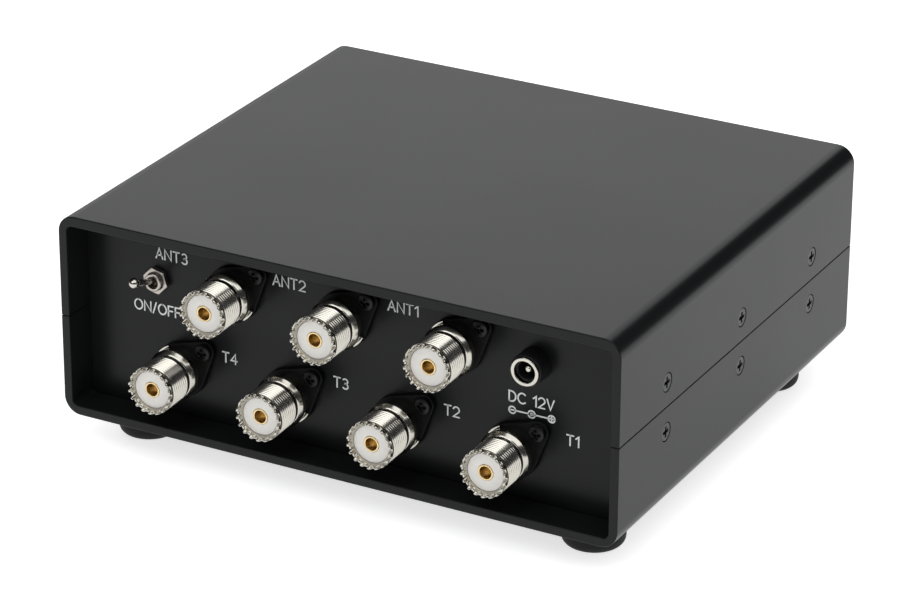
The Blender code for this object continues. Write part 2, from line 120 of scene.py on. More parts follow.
def keep_flats(piece):
    """Weight each corner's normal by the area of its faces, so that large faces stay flat."""
    weighted = piece.modifiers.new("flat faces", "WEIGHTED_NORMAL")
    weighted.keep_sharp = True
    weighted.weight = 100


def bake_modifiers(piece):
    """Replace a piece's mesh with what its modifiers make of it."""
    graph = bpy.context.evaluated_depsgraph_get()
    made = bpy.data.meshes.new_from_object(piece.evaluated_get(graph))
    piece.modifiers.clear()
    piece.data = made


# %% [markdown]
# ## Outlines
# A machined part never has a perfectly sharp corner, and the light catches the tiny round. The corner
# rule used here is a quadratic Bezier: the corner and two points a little way along its edges are its
# three control points. It needs no angles, so the same rule serves a turned section and a flat outline.


# %% Outline helpers
def soften(corners, cut, steps=3, closed=True):
    """Round each corner of a polyline: B(t) = (1-t)^2 a + 2t(1-t) c + t^2 b for corner c."""
    c = np.asarray(corners, float)
    before = np.roll(c, 1, axis=0) - c
    after = np.roll(c, -1, axis=0) - c
    reach_a = np.minimum(cut, 0.45 * np.linalg.norm(before, axis=1))[:, None]
    reach_b = np.minimum(cut, 0.45 * np.linalg.norm(after, axis=1))[:, None]
    a = c + before / np.linalg.norm(before, axis=1)[:, None] * reach_a
    b = c + after / np.linalg.norm(after, axis=1)[:, None] * reach_b
    t = np.linspace(0, 1, steps + 1)[None, :, None]
    curve = (1 - t) ** 2 * a[:, None] + 2 * t * (1 - t) * c[:, None] + t**2 * b[:, None]
    if closed:
        return curve.reshape(-1, 2)
    return np.concatenate([c[:1], curve[1:-1].reshape(-1, 2), c[-1:]])


def arc(centre, radius, start, end, steps):
    """Points on a circle, from start to end in degrees, both ends included."""
    angle = np.radians(np.linspace(start, end, steps + 1))
    return np.stack([centre[0] + radius * np.cos(angle), centre[1] + radius * np.sin(angle)], -1)


def rounded_rectangle(width, height, radius, steps=6):
    """An outline about the origin, anticlockwise: four quarter circles."""
    x = width / 2 - radius
    z = height / 2 - radius
    corners = ((x, z, 0), (-x, z, 90), (-x, -z, 180), (x, -z, 270))
    return np.concatenate([arc((cx, cz), radius, a, a + 90, steps) for cx, cz, a in corners])


def inset(outline, distance):
    """Move each point of an anticlockwise outline inwards, square to the line through its neighbours."""
    along = np.roll(outline, -1, axis=0) - np.roll(outline, 1, axis=0)
    along /= np.linalg.norm(along, axis=1)[:, None]
    return outline + distance * np.stack([-along[:, 1], along[:, 0]], -1)


def as_section(corners):
    """Millimetre pairs as an array in metres."""
    return np.asarray(corners, float) * MM


# %% [markdown]
# ## Turned parts and flat plates
# Most of the hardware is turned: a section goes once round an axis. The surface is
# P(angle, k) = place + r_k (cos angle e1 + sin angle e2) + h_k axis. A relief function may move r and h
# with the angle, which is all that a thread, a notched rim, a hexagon or a cross recess is. Plates are
# stacks of one outline, drawn in by the size of the edge round at both ends.


# %% Turned surface
def turned(name, section, place, finish, body, towards=(0, -1, 0), sides=64, relief=None, tidy=True):
    """Spin (radius, height) pairs, which run up the outside and down the inside, round an axis.

    Ends at radius 0 close on the axis with a fan; otherwise the section closes into a ring.
    """
    axis = np.asarray(towards, float)
    first = np.array((0.0, 1.0, 0.0)) if abs(axis[0]) > 0.9 else np.array((1.0, 0.0, 0.0))
    first -= axis * (first @ axis)
    first /= np.linalg.norm(first)
    second = np.cross(axis, first)
    section = np.asarray(section, float)
    poled = section[0, 0] == 0
    rows = section[1:-1] if poled else section
    angle = np.linspace(0, math.tau, sides, endpoint=False)[:, None]
    radius, height = np.broadcast_arrays(rows[None, :, 0], rows[None, :, 1] + 0 * angle)
    if relief:
        radius, height = relief(angle + 0 * height, radius, height)
    ring = np.cos(angle)[..., None] * first + np.sin(angle)[..., None] * second
    points = np.asarray(place) + radius[..., None] * ring + height[..., None] * axis
    points = points.reshape(-1, 3)
    columns = len(rows)
    faces = [grid_faces(sides, columns, wrap_rows=True, wrap_columns=not poled)]
    if poled:
        ends = [np.asarray(place) + section[k, 1] * axis for k in (0, -1)]
        if relief:
            centre = relief(np.zeros(1), np.zeros(1), section[-1:, 1])[1][0]
            ends[1] = np.asarray(place) + centre * axis
        low, high = len(points), len(points) + 1
        points = np.concatenate([points, ends])
        here = np.arange(sides) * columns
        there = np.roll(here, -1)
        faces.append(np.stack([np.full(sides, low), there, here], -1))
        faces.append(np.stack([here + columns - 1, there + columns - 1, np.full(sides, high)], -1))
    piece = make_piece(name, points, faces, finish, body)
    if tidy:
        keep_flats(piece)
    return piece


# %% Flat plate
def plate(name, layers, finish, body, across=(1, 0, 0), up=(0, 0, 1), out=(0, -1, 0), at=(0, 0, 0)):
    """Join equal-length outlines, each (points, distance out), and close both ends flat."""
    rings = []
    for outline, distance in layers:
        place = np.asarray(at) + np.asarray(out) * distance
        rings.append(place + outline[:, :1] * np.asarray(across) + outline[:, 1:] * np.asarray(up))
    count = len(layers[0][0])
    points = np.concatenate(rings)
    sides = grid_faces(len(layers), count, wrap_columns=True)
    ends = end_faces(count, len(layers))
    if np.dot(np.cross(across, up), out) > 0:
        sides = sides[:, ::-1]
        ends = ends[:, ::-1]
    piece = make_piece(name, points, [sides, ends], finish, body)
    keep_flats(piece)
    return piece


def edged(outline, low, high, edge):
    """Plate layers from low to high with both edges rounded over by edge."""
    turn = np.radians((0, 30, 60, 90))
    start = [(inset(outline, edge * (1 - math.sin(a))), low + edge * (1 - math.cos(a))) for a in turn]
    stop = [(points, low + high - distance) for points, distance in reversed(start)]
    return start + stop


# %% [markdown]
# ## Finishes
# Colours are easiest to judge as sRGB hex values, but the shader wants linear light, so one function
# turns them. Another adds any node with its settings and links, and four more make the few patterns
# that every finish is mixed from. Every pattern reads Object coordinates, which are metres in the frame,
# so a scale of 1 / (2 mm) really is a 2 mm pattern.


# %% Colour and node helpers
def linear(colour):
    """'#rrggbb' in sRGB to linear RGBA."""
    channel = np.array([int(colour[i : i + 2], 16) for i in (1, 3, 5)]) / 255
    light = np.where(channel <= 0.04045, channel / 12.92, ((channel + 0.055) / 1.055) ** 2.4)
    return (*light.tolist(), 1.0)


def add_node(tree, kind, inputs=None, **settings):
    """Add a node, set its properties, then set or link each named or numbered input."""
    node = tree.nodes.new(kind)
    for key, value in settings.items():
        setattr(node, key, value)
    for key, value in (inputs or {}).items():
        if isinstance(value, bpy.types.NodeSocket):
            tree.links.new(value, node.inputs[key])
        else:
            node.inputs[key].default_value = value
    return node


def per_mm(size):
    """The texture scale at which a pattern repeats about every size millimetres."""
    return 1 / (size * MM)


def start_finish(name, **shader_inputs):
    """A new material with its shader's plain numbers set; returns it, its tree, shader and place."""
    made = bpy.data.materials.new(name)
    made.use_nodes = True
    shader = made.node_tree.nodes["Principled BSDF"]
    for key, value in shader_inputs.items():
        shader.inputs[key.replace("_", " ")].default_value = value
    place = add_node(made.node_tree, "ShaderNodeTexCoord").outputs["Object"]
    return made, made.node_tree, shader, place


def noise(tree, place, size_mm, detail):
    """A cloudy value between 0 and 1 whose blotches are about size_mm across."""
    inputs = {"Vector": place, "Scale": per_mm(size_mm), "Detail": detail}
    return add_node(tree, "ShaderNodeTexNoise", inputs).outputs["Fac"]


def spread(tree, value, low, high):
    """Carry the middle of a noise, where nearly all of it lies, to the range from low to high."""
    inputs = {"Value": value, "From Min": 0.3, "From Max": 0.7, "To Min": low, "To Max": high}
    return add_node(tree, "ShaderNodeMapRange", inputs).outputs["Result"]


def two_tone(tree, factor, dark, light):
    """A colour between two sRGB values, by the factor."""
    inputs = {"Factor": factor, 6: linear(dark), 7: linear(light)}
    return add_node(tree, "ShaderNodeMix", inputs, data_type="RGBA").outputs[2]


def dimpled(tree, height, strength, depth):
    """Normals for a surface whose height varies by about depth metres."""
    inputs = {"Height": height, "Strength": strength, "Distance": depth}
    return add_node(tree, "ShaderNodeBump", inputs).outputs["Normal"]


# %% [markdown]
# ### Anodised aluminium
# The case is aluminium, blasted with fine beads and then anodised dark grey, and the panels are a
# smoother black. Anodising leaves a clear, hard oxide over dyed metal, so the eye gets a dark diffuse
# colour under a dielectric gloss and hardly any metallic glint: metallic stays 0 and the IOR is that of
# the oxide. The blasting is a 0.1 mm dimple, too fine to show, so the bump is drawn near 0.5 mm, and a
# slow cloud of 60 mm varies the roughness as the dye bath does. The sockets' flanges share the recipe
# in a duller black that is partly painted shade: it is darkened to the shade round each socket's base,
# so the flange hardly shows against it.


# %% Anodised finishes
def anodised(name, dark, light, smooth, rough, grain_mm, bump):
    """Dyed oxide: two close tones by the blast's grain, and a gloss that drifts with the cloud."""
    made, tree, shader, place = start_finish(name, Metallic=0.0, IOR=1.5, Specular_IOR_Level=0.17)
    cloud = noise(tree, place, 60, 2.0)
    grain = noise(tree, place, grain_mm, 4.0)
    tree.links.new(two_tone(tree, grain, dark, light), shader.inputs["Base Color"])
    tree.links.new(spread(tree, cloud, smooth, rough), shader.inputs["Roughness"])
    tree.links.new(dimpled(tree, grain, bump, 0.02 * MM), shader.inputs["Normal"])
    return made


case_finish = anodised("bead_blasted_anodised_aluminium", "#131415", "#191a1b", 0.3, 0.32, 0.5, 0.35)
panel_finish = anodised("satin_black_anodised_aluminium", "#101112", "#151617", 0.28, 0.3, 0.35, 0.25)
# Painted shade: the flange's black is darkened past its own colour to the shade round each socket's base.
flange_and_painted_shade_finish = anodised("black_flange_and_painted_shade", "#090a0a", "#0e0e0f", 0.5, 0.56, 0.35, 0.25)
rail_finish = anodised("mill_aluminium", "#8d8f92", "#a5a7aa", 0.3, 0.4, 0.8, 0.3)
print("anodised finishes ready")

# %% [markdown]
# ### Plated and blackened metal
# The barrels are turned brass under bright nickel, which is warmer and softer than chrome, and the
# toggle's bush and nut have a duller plate. The centre contacts are gold-plated. Screws are blackened
# steel. A metal keeps the default IOR; its colour is its mirror colour. Handling leaves faint smears of
# a few millimetres, which vary both the roughness and the tone a little.


# %% Metal finishes
def metal(name, colour, smooth, rough, smear_mm, metallic=1.0):
    """A mirror colour with smears that change its roughness and, by a few per cent, its value."""
    made, tree, shader, place = start_finish(name, Metallic=metallic)
    shader.inputs["Base Color"].default_value = linear(colour)
    smear = noise(tree, place, smear_mm, 5.0)
    toned = {"Color": linear(colour), "Value": spread(tree, smear, 0.94, 1.04)}
    tone = add_node(tree, "ShaderNodeHueSaturation", toned)
    tree.links.new(tone.outputs["Color"], shader.inputs["Base Color"])
    tree.links.new(spread(tree, smear, smooth, rough), shader.inputs["Roughness"])
    return made


nickel_finish = metal("bright_nickel_plate", "#bfbcb3", 0.15, 0.22, 4)
dull_nickel_finish = metal("dull_nickel_plate", "#aaa49e", 0.27, 0.36, 2)
gold_finish = metal("gold_plate", "#dfc796", 0.24, 0.32, 3)
screw_finish = metal("black_oxide_steel", "#202022", 0.24, 0.34, 2, metallic=0.75)
print("metal finishes ready")

# %% [markdown]
# ### Rubber, plastics, PTFE and ink
# These are all dielectrics, so they share one recipe: two close tones mixed by a noise of the material's
# own grain, and a bump of the same grain. Rubber is matt with a strong grain, PTFE is waxy, and the
# screen ink is a dry white film.


# %% Moulded finishes
def moulded(name, dark, light, roughness, grain_mm, bump, **extra):
    """Plastic, rubber or ink: two close tones and a bump, both of the same grain."""
    made, tree, shader, place = start_finish(name, Metallic=0.0, Roughness=roughness, **extra)
    grain = noise(tree, place, grain_mm, 4.0)
    tree.links.new(two_tone(tree, grain, dark, light), shader.inputs["Base Color"])
    tree.links.new(dimpled(tree, grain, bump, 0.05 * MM), shader.inputs["Normal"])
    return made


rubber_finish = moulded(
    "moulded_black_rubber", "#0d0d0e", "#161617", 0.66, 0.8, 0.6, Specular_IOR_Level=0.3
)
ptfe_finish = moulded("turned_white_ptfe", "#dcd9d4", "#e6e4df", 0.42, 1.5, 0.15)
housing_finish = moulded("black_moulded_nylon", "#161618", "#1d1d20", 0.5, 0.6, 0.3)
cap_finish = moulded("grey_button_abs", "#3a3b3e", "#434447", 0.5, 0.5, 0.4)
ink_finish = moulded("white_screen_ink", "#d9dbda", "#eceeed", 0.6, 0.3, 0.3)
window_finish = moulded("smoked_acrylic", "#07080a", "#0b0c0f", 0.06, 20, 0.02)
board_finish = moulded("green_solder_mask", "#123f26", "#1a5433", 0.35, 2.5, 0.3)
ferrite_finish = moulded("iron_powder_core", "#3b3a34", "#6a6656", 0.7, 0.5, 0.7)
relay_finish = moulded("blue_relay_cover", "#182b55", "#1f3566", 0.35, 3, 0.15)
print("moulded finishes ready")

# %% [markdown]
# ## The camera
# The view is a long-lens product shot from the front right. The camera is stated by where it aims, from
# which bearing and height, and how far away. A small roll is part of the framing. The lens length is the
# focal length in image widths times the sensor's width.

# %% Camera
CAMERA_AIM = Vector((-4.4, 11.3, 34.8)) * MM
CAMERA_BEARING = math.radians(28.18)
CAMERA_HEIGHT = math.radians(24.42)
CAMERA_ROLL = math.radians(0.36)
CAMERA_DISTANCE = 1.341
FOCAL_WIDTHS = 4.38
SENSOR = 36.0

away = Vector(
    (
        math.sin(CAMERA_BEARING) * math.cos(CAMERA_HEIGHT),
        -math.cos(CAMERA_BEARING) * math.cos(CAMERA_HEIGHT),
        math.sin(CAMERA_HEIGHT),
    )
)
lens = bpy.data.cameras.new("product_camera")
lens.sensor_width = SENSOR
lens.lens = FOCAL_WIDTHS * SENSOR
camera = bpy.data.objects.new("product_camera", lens)
bpy.context.scene.collection.objects.link(camera)
level = away.to_track_quat("Z", "Y").to_matrix().to_4x4()
roll = Matrix.Rotation(CAMERA_ROLL, 4, "Z")
camera.matrix_world = Matrix.Translation(CAMERA_AIM + away * CAMERA_DISTANCE) @ level @ roll
bpy.context.scene.camera = camera
bpy.context.scene.view_settings.view_transform = "Standard"
print("lens", round(lens.lens, 1), "mm")

# %% [markdown]
# ## The case
# The two halves are U-shaped extrusions. The wall's own section, a long thin rectangle with a 0.4 mm
# round on its corners, is carried along the U: at each station there is an outer point and an inner
# point, and the section slides between them. The last stations are drawn in a little, which breaks the
# seam's edges. Screw holes and panel grooves are cut afterwards, as a mill would.

# %% Sizes that the case is built from
top_low, top_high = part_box("top_shell")
base_low, base_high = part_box("bottom_shell")
panel_low, panel_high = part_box("connector_panel")
CASE_HALF = top_high.x
FRONT_Y, BACK_Y = top_low.y, top_high.y
FACE_Y = panel_low.y
CONTROL_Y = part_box("control_panel")[1].y
SIDE_WALL = 3 * MM
ROOF = 3.6 * MM
FLOOR = 3.2 * MM
CORNER = 6 * MM
INNER_CORNER = 2 * MM
BROKEN_EDGE = 0.4 * MM
SEAM_CHAMFER = 0.28 * MM
GROOVE = 1.2 * MM
GROOVE_SLACK = 0.3 * MM
SEAM_Z = (top_low.z + base_high.z) / 2
SEAM_GAP = 0.14 * MM
print("case from", round(FRONT_Y / MM, 2), "to", round(BACK_Y / MM, 2), "mm")
print("seam at", round(SEAM_Z / MM, 2), "mm")


# %% Places on the case
def on_panel(node, face_y):
    """The middle of a solid's box, brought onto a panel's face."""
    low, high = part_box(node)
    return ((low.x + high.x) / 2, face_y, (low.z + high.z) / 2)


def on_wall(node):
    """Where a side screw's axis meets the outside of its wall, and +1 or -1 for the side."""
    low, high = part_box(node)
    side = 1 if low.x > 0 else -1
    return (side * CASE_HALF, (low.y + high.y) / 2, (low.z + high.z) / 2), side


# %% Case half
def case_half(name, flat_z, seam_z, wall):
    """P = outer(s) (1 - w) + inner(s) w, with (w, y) running round the wall's rounded section."""
    up = 1 if flat_z > seam_z else -1
    turn = (0, 0.02, *np.linspace(0, 90, 13)[1:-1], 89.98, 90)
    angle = np.radians(turn)
    outer_arc = np.stack([CORNER * np.cos(angle), CORNER * (np.sin(angle) - 1)], -1)
    inner_arc = np.stack([INNER_CORNER * np.cos(angle), INNER_CORNER * (np.sin(angle) - 1)], -1)
    outer_arc += (CASE_HALF - CORNER, 0)
    inner_arc += (CASE_HALF - SIDE_WALL - INNER_CORNER, -wall)
    rises = [seam_z * up, seam_z * up + SEAM_CHAMFER * 0.35, seam_z * up + SEAM_CHAMFER]
    draws = [SEAM_CHAMFER, SEAM_CHAMFER * 0.35, 0]
    stations = []
    for rise, draw in zip(rises, draws):
        stations.append(((CASE_HALF, rise), (CASE_HALF - SIDE_WALL, rise), draw))
    for out, into in zip(outer_arc, inner_arc):
        stations.append(((out[0], flat_z * up + out[1]), (into[0], flat_z * up + into[1]), 0))
    mirrored = [((-o[0], o[1]), (-i[0], i[1]), d) for o, i, d in reversed(stations)]
    stations += mirrored
    outer = np.array([s[0] for s in stations])
    inner = np.array([s[1] for s in stations])
    draw = np.array([s[2] for s in stations])[:, None]

    depth = BACK_Y - FRONT_Y
    rectangle = [(0, 0), (1, 0), (1, 1), (0, 1)]
    loop = soften(np.array(rectangle) * (SIDE_WALL, depth), BROKEN_EDGE, steps=4)
    across = loop[:, 0][None, :]
    along = loop[:, 1][None, :]
    share = np.clip(across, draw, SIDE_WALL - draw) / SIDE_WALL
    y = FRONT_Y + np.clip(along, draw, depth - draw)
    xz = outer[:, None] * (1 - share[..., None]) + inner[:, None] * share[..., None]
    points = np.stack([xz[..., 0], y, xz[..., 1] * up], -1).reshape(-1, 3)
    columns = loop.shape[0]
    sides = grid_faces(len(stations), columns, wrap_columns=True)
    ends = end_faces(columns, len(stations))
    if up > 0:
        sides = sides[:, ::-1]
    else:
        ends = ends[:, ::-1]
    return make_piece(name, points, [sides, ends], case_finish, "case")


# %% Cutters for the case
def cut(piece, tool):
    """Take the tool's volume out of the piece, and keep the result as plain mesh."""
    boolean = piece.modifiers.new("cut", "BOOLEAN")
    boolean.operation = "DIFFERENCE"
    boolean.solver = "EXACT"
    boolean.object = tool
    bake_modifiers(piece)
    bpy.data.objects.remove(tool)


def box_tool(low, high):
    """A plain box between two corners."""
    low, high = np.asarray(low, float), np.asarray(high, float)
    pick = np.array([[(k >> axis) & 1 for axis in range(3)] for k in range(8)])
    points = np.where(pick == 1, high, low)
    faces = np.array([(0, 2, 3, 1), (4, 5, 7, 6), (0, 1, 5, 4), (2, 6, 7, 3), (0, 4, 6, 2), (1, 3, 7, 5)])
    return make_piece("cutting_box", points, [faces], None, None)


HOLE_MOUTH = 3.25 * MM
HOLE_BORE = 1.65 * MM
HOLE_SINK = 1.75 * MM
side_screws = [name for name in frame["nodes"] if name.startswith("side_screw")]


def screw_hole(name):
    """The countersunk hole of one side screw."""
    place, side = on_wall(name)
    section = [(0, -8 * MM), (HOLE_BORE, -8 * MM), (HOLE_BORE, -HOLE_SINK), (HOLE_MOUTH, -0.25 * MM)]
    section += [(HOLE_MOUTH, 0.5 * MM), (0, 0.5 * MM)]
    return turned("cutting_cone", section, place, None, None, (side, 0, 0), 48, tidy=False)


def finish_half(piece, node, upper):
    """Mill the grooves for both panels and the screw holes, and let the piece stand for its solid."""
    for face_y, sign in ((FACE_Y, 1), (CONTROL_Y, -1)):
        inner_y = face_y + sign * (panel_high.y - panel_low.y)
        reach = CASE_HALF - SIDE_WALL + GROOVE
        low = (-reach, min(face_y, inner_y) - GROOVE_SLACK, base_low.z + FLOOR - GROOVE)
        high = (reach, max(face_y, inner_y) + GROOVE_SLACK, top_high.z - ROOF + GROOVE)
        cut(piece, box_tool(low, high))
    for name in side_screws:
        if (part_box(name)[0].z > SEAM_Z) == upper:
            cut(piece, screw_hole(name))
    piece.data.shade_smooth()
    piece.data.set_sharp_from_angle(angle=math.radians(38))
    keep_flats(piece)
    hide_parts(node)


top_half = case_half("case_top", top_high.z, SEAM_Z + SEAM_GAP / 2, ROOF)
finish_half(top_half, "top_shell", True)
base_half = case_half("case_base", base_low.z, SEAM_Z - SEAM_GAP / 2, FLOOR)
finish_half(base_half, "bottom_shell", False)
print("case faces", len(top_half.data.polygons), len(base_half.data.polygons))

# %% [markdown]
# ## Screws
# A cross recess is a relief: near the middle of the head, a point whose distance from either arm's
# centre line is small drops by the recess depth. The drop is eased at the arms' walls and grows
# shallower towards the arms' ends, as the punch leaves it. Side screws are countersunk; flange screws
# have a domed pan head.


# %% Screw heads
def ease(value, low, high):
    """0 below low, 1 above high, and a smooth S between."""
    t = np.clip((value - low) / (high - low), 0, 1)
    return t * t * (3 - 2 * t)


def cross_recess(arm, reach, depth, top):
    """Drop points near the head's top that lie within arm of either diameter and inside reach."""

    def relief(angle, radius, height):
        across = np.minimum(np.abs(np.cos(angle)), np.abs(np.sin(angle))) * radius
        in_arm = 1 - ease(across, arm * 0.8, arm * 1.25)
        within = 1 - ease(radius, reach * 0.85, reach * 1.05)
        sinks = depth * (1 - 0.45 * radius / reach)
        on_top = ease(height, top - 0.35 * MM, top - 0.3 * MM)
        return radius, height - sinks * in_arm * within * on_top

    return relief


def head_rows(radius, count):
    """Radii from the rim to near the middle, for the recess to be cut in."""
    return np.linspace(radius, 0.06 * MM, count)


HEAD_ROWS = 26
SIDE_HEAD = 3.03 * MM
SIDE_SUNK = 0.12 * MM
PAN_HEAD = 2.75 * MM


def side_screw(name):
    """A countersunk screw whose head stops SIDE_SUNK under the wall's face."""
    place, side = on_wall(name)
    under = as_section([(0, -8), (1.5, -8), (1.5, -1.65), (2.98, -0.37)])
    flat = np.stack([head_rows(SIDE_HEAD - 0.12 * MM, HEAD_ROWS), np.full(HEAD_ROWS, -SIDE_SUNK)], -1)
    section = np.concatenate([under, [(SIDE_HEAD, -0.25 * MM)], flat, [(0, -SIDE_SUNK)]])
    recess = cross_recess(0.45 * MM, 1.85 * MM, 1.4 * MM, -SIDE_SUNK)
    head = name + "_head"
    screw = turned(head, section, place, screw_finish, "case", (side, 0, 0), 72, recess)
    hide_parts(name)


for name in side_screws:
    side_screw(name)


def pan_screw(name, place):
    """Head height 2 mm over a 5.5 mm disc; the dome is h = 2 - 0.5 (r / R)^2 mm."""
    rows = head_rows(PAN_HEAD * 0.93, HEAD_ROWS)
    dome = (2 - 0.5 * (rows / PAN_HEAD) ** 2) * MM
    side = as_section([(0, -2), (1.45, -2), (1.45, 0), (2.7, 0), (2.75, 0.2), (2.75, 1.1), (2.7, 1.35)])
    section = np.concatenate([side, np.stack([rows, dome], -1), [(0, 2 * MM)]])
    recess = cross_recess(0.4 * MM, 1.6 * MM, 1.2 * MM, 1.9 * MM)
    screw = turned(name, section, place, screw_finish, "case", sides=72, relief=recess)


print("side screws", len(side_screws))

# %% [markdown]
# ## Coaxial sockets
# Each socket is a brass barrel with a 5/8 inch, 24-per-inch thread, a ring of notches in its rim that
# stops a plug from turning, a white insulator and a gold contact. The thread is one helix: the wave
# |2 frac(h / pitch - angle / turn) - 1| says how deep it is cut, clipped to leave flat crests and roots.
# The black two-hole flange lies on the panel, its black partly painted shade, and a small plated lug
# shows beside the collar.

# %% Socket sizes
THREAD_RADIUS = 7.94 * MM
THREAD_PITCH = 25.4 / 24 * MM
THREAD_DEPTH = 0.55 * MM
THREAD_FROM, THREAD_TO = 9.9 * MM, 18.9 * MM
RIM_TOP = 20.9 * MM
RIM_NOTCHES = 18
NOTCH_DEPTH = 1.8 * MM
FLANGE_TOP = 2.0 * MM
FLANGE_REACH = 12.85 * MM
FLANGE_TURN = 42.5
sockets = sorted(name[:-5] for name in frame["nodes"] if name.endswith("_body") and "socket" in name)


def socket_relief(angle, radius, height):
    """The helix between the two grooves, and the notches at the rim."""
    turns = height / THREAD_PITCH - angle / math.tau
    wave = np.abs(2 * (turns - np.floor(turns)) - 1)
    run = ease(height, THREAD_FROM, THREAD_FROM + THREAD_PITCH / 2)
    run = run * (1 - ease(height, THREAD_TO - THREAD_PITCH / 2, THREAD_TO))
    outside = ease(radius, THREAD_RADIUS - 0.05 * MM, THREAD_RADIUS - 0.01 * MM)
    valley = np.clip(wave * 1.3 - 0.15, 0, 1)
    notch = ease(np.cos(RIM_NOTCHES * angle), -0.85, 0.95)
    lift = np.clip((height - (RIM_TOP - 1.5 * MM)) / (1.5 * MM), 0, 1) * ease(radius, 6.3 * MM, 7.3 * MM)
    return radius - THREAD_DEPTH * valley * run * outside, height - NOTCH_DEPTH * notch * lift


def socket_section():
    """Up the outside from the tail to the rim, then down the bore, in metres."""
    tail = [(3.2, -6), (6.2, -6), (6.2, 1), (7.6, 1), (7.6, 4.0)]
    collar = [(8.5, 4.3), (8.8, 6.7), (7.75, 7.95), (7.45, 8.1), (7.45, 9.7)]
    lower = soften(as_section(tail + collar), 0.25 * MM, 3, closed=False)
    rows = np.arange(THREAD_FROM, THREAD_TO, THREAD_PITCH / 8)
    thread = np.stack([np.full(len(rows), THREAD_RADIUS), rows], -1)
    rim = [(7.35, 19), (7.35, 19.3), (7.95, 19.4), (7.95, 20.4), (7.7, 20.8), (7.3, 20.9)]
    bore = [(6.9, 20.2), (6.32, 18.7), (6.3, 6), (3.2, 6)]
    upper = soften(as_section(rim + bore), 0.22 * MM, 3, closed=False)
    return np.concatenate([lower, thread, upper])


# %% Flange outline
flange_angle = math.radians(FLANGE_TURN)
HOLE = FLANGE_REACH * np.array((math.cos(flange_angle), math.sin(flange_angle)))


def flange_outline():
    """Two screw lobes on the rising diagonal, joined by tangents to a round waist."""
    lobe, waist = 3.3 * MM, 9.2 * MM
    swing = math.degrees(math.acos((waist - lobe) / FLANGE_REACH))
    first, second = FLANGE_TURN - swing, FLANGE_TURN + swing
    end = arc(HOLE, lobe, first, second, 12)
    half = np.concatenate([end, arc((0, 0), waist, second, 180 + first, 12)])
    return np.concatenate([half, -half])


# %% Lug
LUG_STEPS = 13


def lug(name, place, middle_degrees):
    """A short ring sector behind the collar: its rectangular section swept about the socket's axis."""
    angle = np.radians(middle_degrees + np.linspace(-16, 16, LUG_STEPS))[:, None]
    section = soften(as_section([(7.9, 2.3), (9.1, 2.3), (9.1, 2.9), (7.9, 2.9)]), 0.2 * MM)
    radius, height = section[None, :, 0], section[None, :, 1]
    x = place[0] + radius * np.cos(angle)
    y = place[1] - height + 0 * angle
    z = place[2] + radius * np.sin(angle)
    points = np.stack([x, y, z], -1).reshape(-1, 3)
    columns = len(section)
    faces = [grid_faces(LUG_STEPS, columns, wrap_columns=True), end_faces(columns, LUG_STEPS)]
    piece = make_piece(name, points, faces, nickel_finish, "case")


# %% Sockets
LUG_HIGH, LUG_LOW = 130, -42


def socket(name):
    """One socket: barrel, flange, insulator, contact, two screws and a lug, all about one axis."""
    place = on_panel(name + "_contact", FACE_Y)
    barrel = turned(
        name + "_barrel",
        socket_section(),
        place,
        nickel_finish,
        "case",
        sides=288,
        relief=socket_relief,
        tidy=False,
    )
    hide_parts(name + "_body")
    # The flange's dark finish is partly painted shade, darkened to the shade round the socket's base.
    layers = edged(flange_outline(), 0.0, FLANGE_TOP, 0.35 * MM)
    flange = plate(name + "_flange", layers, flange_and_painted_shade_finish, "case", at=place)
    white = as_section([(2.7, 6.3), (6.28, 6.3), (6.28, 18.6), (2.7, 18.6)])
    insulator = turned(name + "_ptfe", soften(white, 0.15 * MM), place, ptfe_finish, "case")
    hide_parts(name + "_insulator")
    tube = [(0, -12), (2, -12), (2, 3), (2.66, 3.2), (2.66, 18.8), (2.05, 18.8), (2.0, 12), (0, 11)]
    tube = soften(as_section(tube), 0.2 * MM, closed=False)
    contact = turned(name + "_gold", tube, place, gold_finish, "case", sides=48)
    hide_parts(name + "_contact")
    for sign, end in ((1, "high"), (-1, "low")):
        hole = (place[0] + sign * HOLE[0], FACE_Y - FLANGE_TOP, place[2] + sign * HOLE[1])
        pan_screw(f"{name}_screw_{end}", hole)
    lug_up = name in ("antenna_socket_1", "transceiver_socket_1", "transceiver_socket_4")
    lug(name + "_lug", place, LUG_HIGH if lug_up else LUG_LOW)


for name in sockets:
    socket(name)
print("sockets", len(sockets))

# %% [markdown]
# ## Power toggle and DC inlet
# The toggle's nut is a hexagon made from a round section: its radius is apothem / cos(angle from the
# nearest flat), and where that passes the chamfer circle the top drops by the excess times 0.55. The
# lever is a thin neck with a ball tip and turns about the ball in the bush. The inlet is a black housing
# with a plated sleeve in its mouth, a dark lining and a pin.

# %% Toggle
joint = next(j for j in frame["joints"] if j["name"] == "power_toggle")
pivot = np.array(joint["pos_m"])
bush_place = (pivot[0], FACE_Y, pivot[2])


def fine_thread(radius, depth, pitch, start, stop):
    """A helix on the outside of a bush, from start to stop along it."""

    def relief(angle, r, height):
        turns = height / pitch - angle / math.tau
        wave = np.abs(2 * (turns - np.floor(turns)) - 1)
        run = ease(height, start, start + pitch / 2) * (1 - ease(height, stop - pitch / 2, stop))
        return r - depth * wave * run * (r > radius - 0.02 * MM), height

    return relief


def hexagon(apothem, top, turn):
    """Round to six-sided, with the top corners turned down."""

    def relief(angle, radius, height):
        from_flat = (angle - turn + math.pi / 6) % (math.pi / 3) - math.pi / 6
        flats = apothem / np.cos(from_flat)
        outside = radius > apothem * 0.96
        drop = np.clip(flats - apothem * 1.03, 0, None) * 0.55
        sixfold = np.where(outside, flats * radius / apothem, radius)
        return sixfold, height - drop * (outside & (height > top))

    return relief


BUSH_RADIUS = 3 * MM
NUT_APOTHEM = 4 * MM


